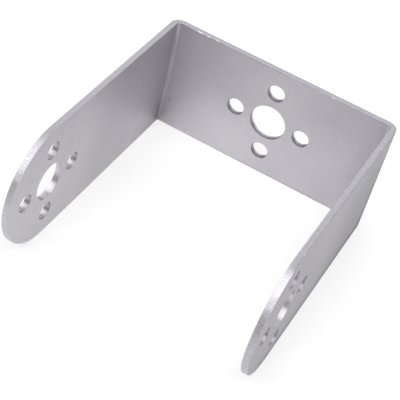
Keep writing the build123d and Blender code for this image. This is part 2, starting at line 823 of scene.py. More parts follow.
        mesh.polygons.foreach_set("use_smooth", np.ones(len(quads), dtype=bool))
        unit = total / np.linalg.norm(total, axis=1, keepdims=True)
        mesh.normals_split_custom_set_from_vertices(unit.tolist())
        mesh.update()
        piece = bpy.data.objects.new(name, mesh)
        bpy.context.scene.collection.objects.link(piece)
        return piece

    @staticmethod
    def listed(grids: Iterable[np.ndarray]) -> np.ndarray:
        """Lists the points of several grids in one array, each with its parts."""
        return np.concatenate([grid.reshape(-1, grid.shape[-1]) for grid in grids])

    @staticmethod
    def grid_quads(place: np.ndarray, direction: np.ndarray) -> np.ndarray:
        """Joins a folded grid's points into four-sided faces that all look outwards.

        A face is turned over where the cross product of its two sides is against its normal.

        Args:
            place: folded points, rows by columns by 3.
            direction: outward normals, in the same shape.

        Returns:
            Four point numbers for each face, counted inside the grid.
        """
        rows, columns = place.shape[:2]
        number = np.arange(rows * columns).reshape(rows, columns)
        quads = np.stack([number[:-1, :-1], number[:-1, 1:], number[1:, 1:], number[1:, :-1]], axis=-1)
        diagonal = place[1:, 1:] - place[:-1, :-1]
        other = place[1:, :-1] - place[:-1, 1:]
        facing = (np.cross(diagonal, other) * direction[:-1, :-1]).sum(axis=-1)
        turned = np.where((facing < 0)[..., None], quads[..., ::-1], quads)
        return turned.reshape(-1, 4)


@dataclass(frozen=True)
class Ramp:
    """A straight ramp from one strength to another, held beyond its ends.

    Args:
        low: where the ramp starts, in metres or in the measure of what it reads.
        high: where it ends. It may lie below low.
        start: strength at low.
        end: strength at high.
    """

    low: float
    high: float
    start: float = 0.0
    end: float = 1.0

    def shifted(self, distance: float) -> "Ramp":
        """Gives the same ramp a distance further on."""
        return replace(self, low=self.low + distance, high=self.high + distance)


INNER_SKIN = Ramp(0.0, 0.1 * MM, 1.0, 0.0)
REVERSED = Ramp(0.0, 1.0, 1.0, 0.0)


@dataclass(frozen=True)
class Speckle:
    """A noise pattern.

    Args:
        scale: how many features fit in a metre.
        detail: how many finer layers it has.
        roughness: how strong the finer layers are.
    """

    scale: float
    detail: float
    roughness: float = 0.5


@dataclass(frozen=True)
class Relief:
    """Relief of a surface that comes from its material.

    Args:
        strength: how strong the relief is, from 0 to 1.
        depth: how deep it is, in metres.
    """

    strength: float
    depth: float


class NodeGraph:
    """A material's nodes, with short calls to add and join them.

    Args:
        name: the material's name.
    """

    def __init__(self, name: str) -> None:
        """Makes an empty material with a Principled shader."""
        self.material = bpy.data.materials.new(name)
        self.material.use_nodes = True
        self.tree = self.material.node_tree
        self.tree.nodes.clear()
        output = self.add("ShaderNodeOutputMaterial")
        self.shader = self.add("ShaderNodeBsdfPrincipled")
        self.join(self.shader.outputs["BSDF"], output.inputs["Surface"])

    def add(self, kind: str, **settings: Any) -> bpy.types.Node:
        """Adds a node.

        Args:
            kind: the node's type.
            settings: its properties.

        Returns:
            The node.
        """
        node = self.tree.nodes.new(kind)
        for key, value in settings.items():
            setattr(node, key, value)
        return node

    def join(self, source: Socket, target: Socket) -> None:
        """Joins an output socket to an input socket."""
        self.tree.links.new(source, target)

    def value(self, source: Term, socket: Socket) -> None:
        """Sets an input socket.

        Args:
            source: another socket to join to it, or a number or a colour to set it to.
            socket: the input socket.
        """
        if isinstance(source, Socket):
            self.join(source, socket)
        else:
            socket.default_value = source

    def maths(self, operation: str, *terms: Term) -> Socket:
        """Adds a Math node.

        Args:
            operation: the node's operation.
            terms: sockets or numbers.

        Returns:
            The result's socket.
        """
        node = self.add("ShaderNodeMath", operation=operation)
        for term, socket in zip(terms, node.inputs):
            self.value(term, socket)
        return node.outputs[0]

    def product(self, *terms: Term) -> Socket:
        """Multiplies two or more sockets or numbers."""
        return reduce(partial(self.maths, "MULTIPLY"), terms)

    def total(self, *terms: Term) -> Socket:
        """Adds two or more sockets or numbers."""
        return reduce(partial(self.maths, "ADD"), terms)

    def far_from(self, source: Socket, place: float) -> Socket:
        """Gives how far a value is from a place: |value - place|."""
        return self.maths("ABSOLUTE", self.maths("SUBTRACT", source, place))

    def ramp(self, source: Socket, ramp: Ramp) -> Socket:
        """Reads a ramp at a value.

        Args:
            source: the value's socket.
            ramp: the ramp.

        Returns:
            The strength's socket.
        """
        node = self.add("ShaderNodeMapRange", clamp=True)
        self.join(source, node.inputs["Value"])
        ends = {"From Min": ramp.low, "From Max": ramp.high, "To Min": ramp.start, "To Max": ramp.end}
        for key, number in ends.items():
            node.inputs[key].default_value = number
        return node.outputs["Result"]

    def ramps(self, *pairs: tuple[Socket, Ramp]) -> Socket:
        """Multiplies ramps, each given with the value that it is read at."""
        return self.product(*(self.ramp(source, ramp) for source, ramp in pairs))

    def noise(self, vector: Socket, speckle: Speckle) -> Socket:
        """Adds a noise pattern.

        Args:
            vector: where the pattern is read.
            speckle: the pattern.

        Returns:
            The socket of its strength, about 0.5 on average.
        """
        node = self.add("ShaderNodeTexNoise")
        self.join(vector, node.inputs["Vector"])
        node.inputs["Scale"].default_value = speckle.scale
        node.inputs["Detail"].default_value = speckle.detail
        node.inputs["Roughness"].default_value = speckle.roughness
        return node.outputs["Fac"]

    def split(self, vector: Socket) -> Sequence[Socket]:
        """Splits a vector.

        Args:
            vector: the vector's socket.

        Returns:
            The sockets of its three parts.
        """
        node = self.add("ShaderNodeSeparateXYZ")
        self.join(vector, node.inputs[0])
        return tuple(node.outputs)

    def mix(self, share: Term, first: Term, second: Term) -> Socket:
        """Mixes two numbers, which go to sockets 2 and 3 of the node.

        Args:
            share: how much of the second one, a socket or a number.
            first: a socket or a number.
            second: a socket or a number.

        Returns:
            The mixed number's socket.
        """
        node = self.add("ShaderNodeMix", data_type="FLOAT")
        for term, index in zip((share, first, second), (0, 2, 3)):
            self.value(term, node.inputs[index])
        return node.outputs[0]

    def blend(self, share: Term, first: Term, second: Term) -> Socket:
        """Mixes two colours, which go to sockets 6 and 7 of the node.

        Args:
            share: how much of the second one, a socket or a number.
            first: a socket or a colour.
            second: a socket or a colour.

        Returns:
            The colour's socket.
        """
        node = self.add("ShaderNodeMix", data_type="RGBA")
        for term, index in zip((share, first, second), (0, 6, 7)):
            self.value(term, node.inputs[index])
        return node.outputs[2]

    def layered(self, metal: Socket, layers: Sequence[tuple[Socket, Colour]]) -> Socket:
        """Lays colours over one another.

        Args:
            metal: the colour below.
            layers: the strength and the colour of each layer, from the lowest to the highest.

        Returns:
            The colour's socket.
        """
        for strength, colour in layers:
            metal = self.blend(strength, metal, colour)
        return metal

    def bump(self, height: Socket, strength: Term, depth: float, normal: Socket | None = None) -> Socket:
        """Adds relief to the surface.

        Args:
            height: the relief's socket.
            strength: a socket or a number from 0 to 1.
            depth: how deep the relief is, in metres.
            normal: relief to add it to.

        Returns:
            The normal's socket.
        """
        node = self.add("ShaderNodeBump")
        node.inputs["Distance"].default_value = depth
        self.value(strength, node.inputs["Strength"])
        self.join(height, node.inputs["Height"])
        if normal is not None:
            self.join(normal, node.inputs["Normal"])
        return node.outputs["Normal"]

    def metal(self, colour: Socket, rough: Socket, relief: Socket) -> bpy.types.Material:
        """Joins up the shader as bare metal.

        Args:
            colour: socket of the reflected colour.
            rough: socket of the roughness.
            relief: socket of the normal.

        Returns:
            The material.
        """
        for key, source in (("Base Color", colour), ("Roughness", rough), ("Normal", relief)):
            self.join(source, self.shader.inputs[key])
        self.shader.inputs["Metallic"].default_value = 1.0
        return self.material


class SheetGraph(NodeGraph):
    """A material's nodes, with sockets that tell where on the sheet a point of it lies.

    Each of those sockets is made when it is first asked for. STREAK_SHARE is how fast a streaked
    pattern changes through the sheet, against along the cut.
    """

    STREAK_SHARE = 0.12

    def uv(self, sheet_map: SheetMap) -> Socket:
        """Reads one of the piece's UV maps."""
        return self.add("ShaderNodeUVMap", uv_map=sheet_map.value).outputs["UV"]

    def attribute(self, sheet_map: SheetMap) -> Socket:
        """Reads one of the values that the piece holds at each point."""
        return self.add("ShaderNodeAttribute", attribute_name=sheet_map.value).outputs["Fac"]

    @cached_property
    def solid(self) -> Socket:
        """The piece's own coordinates."""
        return self.add("ShaderNodeTexCoord").outputs["Object"]

    @cached_property
    def xyz(self) -> Sequence[Socket]:
        """The three parts of the piece's own coordinates."""
        return self.split(self.solid)

    @cached_property
    def strip(self) -> Socket:
        """The place (p, q) on the flat strip."""
        return self.uv(SheetMap.UNFOLDED)

    @cached_property
    def along(self) -> Socket:
        """The place p along the flat strip."""
        return self.split(self.strip)[0]

    @cached_property
    def across(self) -> Socket:
        """The place q across the flat strip."""
        return self.split(self.strip)[1]

    @cached_property
    def distance(self) -> Socket:
        """The distance |p| from the strip's middle."""
        return self.maths("ABSOLUTE", self.along)

    @cached_property
    def cut(self) -> Socket:
        """The place (distance along the cut, height through the sheet)."""
        return self.uv(SheetMap.ALONG_CUT)

    @cached_property
    def streaked(self) -> Socket:
        """Draws patterns out into streaks that run through the sheet.

        Returns:
            The socket of the place at which such a pattern is read.
        """
        node = self.add("ShaderNodeMapping")
        node.inputs["Scale"].default_value = (1.0, self.STREAK_SHARE, 1.0)
        self.join(self.cut, node.inputs["Vector"])
        return node.outputs["Vector"]

    @cached_property
    def run(self) -> Socket:
        """The distance along the cut."""
        return self.split(self.cut)[0]

    @cached_property
    def height(self) -> Socket:
        """The height h through the sheet, from the inner skin."""
        return self.split(self.cut)[1]

    @cached_property
    def milled(self) -> Socket:
        """How far a cut was milled, or a hole reamed."""
        return self.attribute(SheetMap.MILLED)

    @cached_property
    def bright(self) -> Socket:
        """How much a burr was rubbed bright, with its glint painted in."""
        return self.attribute(SheetMap.BRIGHT)


@dataclass(frozen=True)
class FoldMarksAndShading:
    """What the press leaves at each fold: a duller band with a fine line at each side.

    The band is partly painted shade of the fold's hollow, and the lines are partly painted
    highlights along the fold's edges.

    Args:
        sizes: the bracket's sizes.
        softness: half the length over which the band's ends fade.
        near_line: how far the first line lies before the fold's start, and its half width.
        far_line: how far the second line lies before the fold's end, and its half width.
        breaks: pattern that breaks the lines up.
        unbroken: strength of the lines by that pattern.
        lines_across: strength of the lines across the strip.
        band_across: strength of the band across the strip.
    """

    sizes: BracketSizes
    softness: float = 0.13 * MM
    near_line: tuple[float, float] = (0.0, 0.22 * MM)
    far_line: tuple[float, float] = (0.26 * MM, 0.28 * MM)
    breaks: Speckle = Speckle(500.0, 3.0)
    unbroken: Ramp = Ramp(0.35, 0.6, 0.5, 1.0)
    lines_across: Ramp = Ramp(-9.0 * MM, -2.0 * MM, 0.2, 1.0)
    band_across: Ramp = Ramp(9.0 * MM, 12.0 * MM, 1.0, 0.1)

    def band(self, sheet: SheetGraph) -> Socket:
        """Draws the band: a ramp up at the fold's start * a ramp down at its end.

        Args:
            sheet: the material's nodes.

        Returns:
            The socket of the band's strength.
        """
        soft = self.softness
        start, end = self.sizes.fold
        return sheet.ramps(
            (sheet.distance, Ramp(start - soft, start + soft)),
            (sheet.distance, Ramp(end - soft, end + soft, 1.0, 0.0)),
            (sheet.across, self.band_across),
        )

    def lines(self, sheet: SheetGraph) -> Socket:
        """Draws the lines: 1 - |(|p| - line)| / half width, held above 0, broken by noise.

        Args:
            sheet: the material's nodes.

        Returns:
            The socket of the lines' strength.
        """
        drawn = []
        for end, (before, half_width) in zip(self.sizes.fold, (self.near_line, self.far_line)):
            off = sheet.far_from(sheet.distance, end - before)
            drawn.append(sheet.ramp(off, Ramp(0.0, half_width, 1.0, 0.0)))
        unbroken = (sheet.noise(sheet.strip, self.breaks), self.unbroken)
        kept = sheet.ramps(unbroken, (sheet.across, self.lines_across))
        return sheet.product(sheet.maths("MAXIMUM", *drawn), kept)


@dataclass(frozen=True)
class FoldPaintedShade:
    """Painted shade beside the folds, on the inner skin and, longer, on the arms' outer one.

    It darkens the folds' inner corners, where they shade the skin, and the outer skin where it
    mirrors the shadowed floor.

    Args:
        sizes: the bracket's sizes.
        inner: strength on the inner skin.
        inner_reach: how far that reaches before the fold and after it.
        inner_across: how it changes across the strip.
        arm_along: strength on the outer skin, by the distance from the strip's middle.
        arm_across: how that changes across the strip.
        near_along: what is added close to the fold, by the distance past it.
        near_across: how that changes across the strip.
        lower_edge: what is added at the strip's lower edge.
        upper_edge: what is added at its upper edge.
        upper_along: how that changes along the strip.
    """

    sizes: BracketSizes
    inner: float = 0.19
    inner_reach: tuple[float, float] = (5.0 * MM, 14.0 * MM)
    inner_across: Ramp = Ramp(-12.5 * MM, -7.5 * MM, 3.0, 1.0)
    arm_along: Ramp = Ramp(38.0 * MM, 52.0 * MM, 0.43, 0.0)
    arm_across: Ramp = Ramp(6.0 * MM, 12.0 * MM, 1.0, 0.4)
    near_along: Ramp = Ramp(1.5 * MM, 5.5 * MM, 0.45, 0.0)
    near_across: Ramp = Ramp(-9.0 * MM, 9.0 * MM, 1.0, 0.0)
    lower_edge: Ramp = Ramp(-11.8 * MM, -9.6 * MM, 0.48, 0.0)
    upper_edge: Ramp = Ramp(11.6 * MM, 13.0 * MM, 0.0, 0.22)
    upper_along: Ramp = Ramp(50.0 * MM, 56.0 * MM, 1.0, 0.0)

    def strength(self, sheet: SheetGraph) -> Socket:
        """Draws the painted shade.

        Inner = rise up to the fold's end * fall along the arm * ramp across. Outer = (arm + near +
        upper edge + lower edge) * rise over the fold. Each of the first three is a ramp along times
        a ramp across, and the lower edge is a ramp across.

        Args:
            sheet: the material's nodes.

        Returns:
            The socket of the painted shade's strength.
        """
        start, end = self.sizes.fold
        before, after = self.inner_reach
        inner = sheet.ramps(
            (sheet.distance, Ramp(start - before, end, 0.0, self.inner)),
            (sheet.distance, Ramp(end, end + after, 1.0, 0.0)),
            (sheet.across, self.inner_across),
        )
        pairs = (
            (self.arm_along, self.arm_across),
            (self.near_along.shifted(end), self.near_across),
            (self.upper_along, self.upper_edge),
        )
        terms = [sheet.ramps((sheet.distance, along), (sheet.across, across)) for along, across in pairs]
        outer = sheet.total(*terms, sheet.ramp(sheet.across, self.lower_edge))
        outer = sheet.product(outer, sheet.ramp(sheet.distance, Ramp(start, end)))
        return sheet.mix(sheet.ramp(sheet.height, Ramp(0.0, self.sizes.sheet)), inner, outer)


@dataclass(frozen=True)
class PaintedLightPatches:
    """Painted reflection and painted shade: where the inner skin is brighter and duller than the rest.

    Args:
        brighter_across: the brighter patch at the web's lower left, across the strip.
        brighter_along: how it comes in along the strip, and goes again.
        duller_across: the duller patch at the web's upper right, across the strip.
        duller_along: how it comes in along the strip, and falls off towards the right fold.
        on_left_arm: how the left arm's duller patch comes in along the strip, and goes again.
    """

    brighter_across: Ramp = Ramp(3.0 * MM, -5.0 * MM, 0.0, 0.22)
    brighter_along: tuple[Ramp, Ramp] = (
        Ramp(-21.0 * MM, -15.0 * MM),
        Ramp(-8.0 * MM, 6.0 * MM, 1.0, 0.0),
    )
    duller_across: Ramp = Ramp(-2.0 * MM, 8.0 * MM, 0.0, 0.14)
    duller_along: tuple[Ramp, Ramp] = (
        Ramp(2.0 * MM, 10.0 * MM),
        Ramp(17.0 * MM, 23.0 * MM, 1.0, 0.4),
    )
    on_left_arm: tuple[Ramp, Ramp] = (
        Ramp(-62.0 * MM, -50.0 * MM, 0.0, 0.15),
        Ramp(-43.0 * MM, -34.0 * MM, 1.0, 0.0),
    )

    def strengths(self, sheet: SheetGraph) -> tuple[Socket, Socket]:
        """Draws the patches, each the product of its ramps.

        Args:
            sheet: the material's nodes.

        Returns:
            The sockets of the brighter and of the duller patches' strength.
        """
        inner = sheet.ramp(sheet.height, INNER_SKIN)
        brighter, duller, on_arm = (
            sheet.ramps(*((sheet.along, ramp) for ramp in ends))
            for ends in (self.brighter_along, self.duller_along, self.on_left_arm)
        )
        brighter = sheet.product(brighter, sheet.ramp(sheet.across, self.brighter_across))
        duller = sheet.product(duller, sheet.ramp(sheet.across, self.duller_across))
        return sheet.product(brighter, inner), sheet.product(sheet.total(duller, on_arm), inner)


@dataclass(frozen=True)
class RimShadowLine:
    """The thin painted shadow line of the burr, under the rim of the inner skin.

    Args:
        sizes: the bracket's sizes.
        width: width over which the line comes in, up to the rim.
        breaks: pattern that breaks the line up.
        unbroken: strength of the line by that pattern.
        from_left: how it grows over the web's left half.
        at_right_fold: how it ends at the right fold.
    """

    sizes: BracketSizes
    width: float = 0.17 * MM
    breaks: Speckle = Speckle(260.0, 3.0)
    unbroken: Ramp = Ramp(0.35, 0.6, 0.2, 1.0)
    from_left: Ramp = Ramp(-14.0 * MM, 0.0, 0.15, 1.0)
    at_right_fold: Ramp = Ramp(23.0 * MM, 24.0 * MM, 1.0, 0.0)

    def strength(self, sheet: SheetGraph) -> Socket:
        """Draws the line: 1 - (rim - r) / width, held above 0.

        Here r is the distance from the middle line between the arms' bores, and
        r^2 = max(|p| - bore, 0)^2 + q^2, so that the line follows the round tips.

        Args:
            sheet: the material's nodes.

        Returns:
            The socket of the line's strength.
        """
        past = sheet.maths("SUBTRACT", sheet.distance, self.sizes.arm_pattern)
        past = sheet.maths("MAXIMUM", past, 0.0)
        squares = sheet.total(sheet.product(past, past), sheet.product(sheet.across, sheet.across))
        rim = self.sizes.face_half
        return sheet.ramps(
            (sheet.maths("SQRT", squares), Ramp(rim - self.width, rim)),
            (sheet.height, INNER_SKIN),
            (sheet.noise(sheet.strip, self.breaks), self.unbroken),
            (sheet.along, self.from_left),
            (sheet.along, self.at_right_fold),
        )


@dataclass(frozen=True)
class Scuff:
    """A soft dark scuff on the web's inner face, beside the left fold.

    Args:
        sizes: the bracket's sizes.
        x: its middle across the bracket.
        z: its middle up and down.
        half_size: its half width, half depth and half height.
        fade: its strength by the share of that size.
    """

    sizes: BracketSizes
    x: float = -23.2 * MM
    z: float = -6.5 * MM
    half_size: tuple[float, float, float] = (0.6 * MM, 0.3 * MM, 1.1 * MM)
    fade: Ramp = Ramp(0.2, 1.0, 0.6, 0.0)

    def strength(self, sheet: SheetGraph) -> Socket:
        """Draws the scuff by the length of the way from its middle, each part over its half size.

        Args:
            sheet: the material's nodes.

        Returns:
            The socket of the scuff's strength.
        """
        centred = sheet.add("ShaderNodeMapping", vector_type="TEXTURE")
        centred.inputs["Location"].default_value = (self.x, -self.sizes.sheet, self.z)
        centred.inputs["Scale"].default_value = self.half_size
        sheet.join(sheet.solid, centred.inputs["Vector"])
        length = sheet.add("ShaderNodeVectorMath", operation="LENGTH")
        sheet.join(centred.outputs["Vector"], length.inputs[0])
        return sheet.ramp(length.outputs["Value"], self.fade)


@dataclass(frozen=True)
class BlastedFinish:
    """Matt skin of sheet aluminium after fine bead blasting.

    Args:
        sizes: the bracket's sizes.
        colour: reflected colour of the metal.
        shade: colour where the blasting is a little heavier.
        pit_and_shade: colour of the small dark pits and the scuff, and of painted shade: the folds'
        bands, the burr's shadow line under the rim and the outer skin's darkening.
        fleck_and_highlight: colour of the small bright grains, and of painted light: the folds' lines
        and the brighter patch.
        painted_shade: colour of the painted shade beside the folds and in the duller patches.
        clouds: broad uneven tone.
        cloud_tone: how far the clouds go from shade to colour.
        coarse: coarse grain.
        coarse_tone: how far the coarse grain goes from shade to colour.
        pits: pattern of the pits.
        pit_depth: strength of the pits by that pattern.
        grain: fine grain.
        grain_fleck: strength of the bright grains by the fine grain.
        outer_painted_darkening: how much darker the outer skin is painted as shade, from 0 to 1.
        fold_band_shade: how much darker the folds' bands are, partly painted shade.
        roughness: roughness of the skin by the coarse grain.
        band_roughness: what the folds' bands add to the roughness.
        coarse_relief: relief of the coarse grain.
        grain_relief: relief of the fine grain.
    """

    sizes: BracketSizes
    colour: Colour = (0.572, 0.560, 0.591, 1.0)
    shade: Colour = (0.485, 0.474, 0.506, 1.0)
    pit_and_shade: Colour = (0.34, 0.33, 0.36, 1.0)
    fleck_and_highlight: Colour = (0.82, 0.81, 0.84, 1.0)
    painted_shade: Colour = (0.20, 0.19, 0.22, 1.0)
    clouds: Speckle = Speckle(90.0, 4.0, 0.6)
    cloud_tone: Ramp = Ramp(0.3, 0.7, -0.1, 0.5)
    coarse: Speckle = Speckle(1500.0, 3.0, 0.6)
    coarse_tone: Ramp = Ramp(0.28, 0.72)
    pits: Speckle = Speckle(1900.0, 1.0)
    pit_depth: Ramp = Ramp(0.25, 0.18, 0.0, 0.8)
    grain: Speckle = Speckle(4200.0, 2.0, 0.6)
    grain_fleck: Ramp = Ramp(0.68, 0.76)
    outer_painted_darkening: float = 0.74
    fold_band_shade: float = 0.80
    roughness: Ramp = Ramp(0.3, 0.7, 0.47, 0.57)
    band_roughness: float = 0.05
    coarse_relief: Relief = Relief(0.7, 0.03 * MM)
    grain_relief: Relief = Relief(0.6, 0.02 * MM)

    def build(self) -> bpy.types.Material:
        """Makes the material: fine grain, faint clouds, pits, bright grains and the folds' marks.

        Painted light and shade lie over them.

        Returns:
            The material.
        """
        sheet = SheetGraph("blasted_aluminium")
        marks = FoldMarksAndShading(self.sizes)
        coarse, grain = sheet.noise(sheet.solid, self.coarse), sheet.noise(sheet.solid, self.grain)
        clouds, pits = sheet.noise(sheet.solid, self.clouds), sheet.noise(sheet.solid, self.pits)
        tone = sheet.total(sheet.ramp(clouds, self.cloud_tone), sheet.ramp(coarse, self.coarse_tone))
        outer = sheet.ramp(sheet.height, Ramp(0.0, self.sizes.sheet, 0.0, self.outer_painted_darkening))
        brighter, duller = PaintedLightPatches().strengths(sheet)
        band = marks.band(sheet)
        layers = (
            # painted shade: the outer skin darkened for the shadowed floor that it mirrors
            (outer, self.pit_and_shade),
            (sheet.ramp(pits, self.pit_depth), self.pit_and_shade),
            (sheet.ramp(grain, self.grain_fleck), self.fleck_and_highlight),
            # painted shade beside the folds
            (FoldPaintedShade(self.sizes).strength(sheet), self.painted_shade),
            # painted reflection in the brighter patch, painted shade in the duller ones
            (brighter, self.fleck_and_highlight),
            (duller, self.painted_shade),
            # the folds' band and lines: partly press marks, partly painted shade and painted highlights
            (sheet.product(band, self.fold_band_shade), self.pit_and_shade),
            (marks.lines(sheet), self.fleck_and_highlight),
            # painted shadow of the burr along the rim of the inner skin
            (RimShadowLine(self.sizes).strength(sheet), self.pit_and_shade),
            (Scuff(self.sizes).strength(sheet), self.pit_and_shade),
        )
        metal = sheet.layered(sheet.blend(tone, self.shade, self.colour), layers)
        rough = sheet.total(sheet.ramp(coarse, self.roughness), sheet.product(band, self.band_roughness))
        relief = sheet.bump(coarse, self.coarse_relief.strength, self.coarse_relief.depth)
        relief = sheet.bump(grain, self.grain_relief.strength, self.grain_relief.depth, relief)
        return sheet.metal(metal, rough, relief)


@dataclass(frozen=True)
class Ribs:
    """The fine ribs that milling left on the tips' cut, with grooves and hatching between them.

    Args:
        pitch: distance from one rib to the next.
        slow: pattern that draws the ribs aside as a whole.
        slow_turn: how far it draws them, in radians.
        zigzag: pattern that draws them aside through the sheet.
        zigzag_turn: how far it draws them, in radians.
        hatching: the fine hatching.
        wave: height of the ribs by their sine.
        hatched: what the hatching adds to the height.
        groove: strength of the grooves by the ribs' sine.
        filled: strength of the grooves by the hatching.
    """

    pitch: float = 0.42 * MM
    slow: Speckle = Speckle(700.0, 1.0)
    slow_turn: float = 7.0
    zigzag: Speckle = Speckle(1100.0, 1.0)
    zigzag_turn: float = 6.0
    hatching: Speckle = Speckle(3600.0, 2.0, 0.6)
    wave: Ramp = Ramp(0.0, 0.5, 0.0, 0.6)
    hatched: Ramp = Ramp(0.36, 0.64, 0.0, 0.4)
    groove: Ramp = Ramp(0.15, 0.5, 1.0, 0.0)
    filled: Ramp = Ramp(0.35, 0.6, 0.7, 0.15)

    def build(self, sheet: SheetGraph) -> tuple[Socket, Socket]:
        """Draws the ribs: |sin(pi run / pitch + slow pattern + zigzag)|, with the hatching.

        Args:
            sheet: the material's nodes.

        Returns:
            The sockets of the ribs' height and of the grooves' strength, from 0 to 1.
        """
        hatching = sheet.noise(sheet.streaked, self.hatching)
        phase = sheet.total(
            sheet.product(sheet.run, math.pi / self.pitch),
            sheet.product(sheet.noise(sheet.streaked, self.slow), self.slow_turn),
            sheet.product(sheet.noise(sheet.cut, self.zigzag), self.zigzag_turn),
        )
        ridge = sheet.maths("ABSOLUTE", sheet.maths("SINE", phase))
        height = sheet.total(sheet.ramp(ridge, self.wave), sheet.ramp(hatching, self.hatched))
        grooves = sheet.product(sheet.ramp(ridge, self.groove), sheet.ramp(hatching, self.filled))
        return height, grooves


@dataclass(frozen=True)
class CutFinish:
    """Cut edge of the sheet: speckled where it was blasted, finely ribbed where it was milled.

    Args:
        colour: colour of the cut.
        shade: colour of its speckle and of the valleys between the ribs.
        rubbed: colour of a burr that was rubbed bright, which paints in its glint, and of the painted
        highlight on the left tip.
        burr_shadow: colour of the painted shadow line under the inner rim.
        groove: colour of the grooves between the ribs and the two stripes, and of the painted shade
        on the tips' lower part.
        grain: fine grain of the metal.
        grain_tone: how far the grain goes from shade to colour.
        calm: how much of the grain's speckle is smoothed away, across the bracket.
        calm_milled: how that changes where the cut was milled.
        calm_tone: tone that takes the smoothed speckle's place.
        rib_share: how much of the pattern is ribs where the cut was milled.
        blasted_roughness: roughness where the cut was only blasted.
        milled_roughness: roughness where it was milled.
        grain_roughness: what the grain adds to the roughness.
        rubbed_smoothness: what the rubbing takes from the roughness.
        rib_relief: strength of the ribs' relief, by how far the cut was milled.
        rib_depth: depth of that relief.
        grain_relief: relief of the grain.
    """

    colour: Colour = (0.61, 0.60, 0.635, 1.0)
    shade: Colour = (0.43, 0.42, 0.46, 1.0)
    rubbed: Colour = (0.90, 0.90, 0.92, 1.0)
    burr_shadow: Colour = (0.34, 0.33, 0.36, 1.0)
    groove: Colour = (0.22, 0.21, 0.25, 1.0)
    grain: Speckle = Speckle(4200.0, 3.0, 0.6)
    grain_tone: Ramp = Ramp(0.34, 0.66)
    calm: Ramp = Ramp(-22.0 * MM, 24.0 * MM, 0.75, 0.0)
    calm_milled: Ramp = Ramp(0.0, 1.0, 1.0, 0.2)
    calm_tone: float = 0.6
    rib_share: float = 0.65
    blasted_roughness: float = 0.46
    milled_roughness: float = 0.40
    grain_roughness: Ramp = Ramp(0.3, 0.7, -0.05, 0.05)
    rubbed_smoothness: float = 0.26
    rib_relief: Ramp = Ramp(0.0, 1.0, 0.05, 1.0)
    rib_depth: float = 0.03 * MM
    grain_relief: Relief = Relief(0.6, 0.02 * MM)

    def build(self) -> bpy.types.Material:
        """Makes the material: speckle and ribs, with the edge's wear over them.

        Painted light and shade lie among that wear.

        Returns:
            The material.
        """
        sheet = SheetGraph("cut_aluminium")
        wear = CutWear()
        grain = sheet.noise(sheet.solid, self.grain)
        ribs, grooves = Ribs().build(sheet)
        calm = sheet.ramps((sheet.xyz[0], self.calm), (sheet.milled, self.calm_milled))
        flecks = sheet.mix(calm, sheet.ramp(grain, self.grain_tone), self.calm_tone)
        pattern = sheet.mix(sheet.product(sheet.milled, self.rib_share), flecks, ribs)
        layers = (
            # painted shadow of the burr under the inner rim
            (wear.burr_shadow_line(sheet), self.burr_shadow),
            (wear.pressed_stripe(sheet), self.groove),
            (wear.rolled_stripe(sheet), self.groove),
            (wear.grooved(sheet, grooves), self.groove),
            # painted shade on the lower part of the tips, most on the right
            (wear.lower_tip_shade(sheet), self.groove),
            # painted highlight that widens the left tip's bright band
            (wear.painted_tip_highlight(sheet), self.rubbed),
            # rubbed burrs, with their glints painted in as brighter colour
            (sheet.bright, self.rubbed),
        )
        metal = sheet.layered(sheet.blend(pattern, self.shade, self.colour), layers)
        by_milling = Ramp(0.0, 1.0, self.blasted_roughness, self.milled_roughness)
        rough = sheet.total(sheet.ramp(sheet.milled, by_milling), sheet.ramp(grain, self.grain_roughness))
        rough = sheet.total(rough, sheet.product(sheet.bright, -self.rubbed_smoothness))
        relief = sheet.bump(ribs, sheet.ramp(sheet.milled, self.rib_relief), self.rib_depth)
        relief = sheet.bump(grain, self.grain_relief.strength, self.grain_relief.depth, relief)
        return sheet.metal(metal, rough, relief)


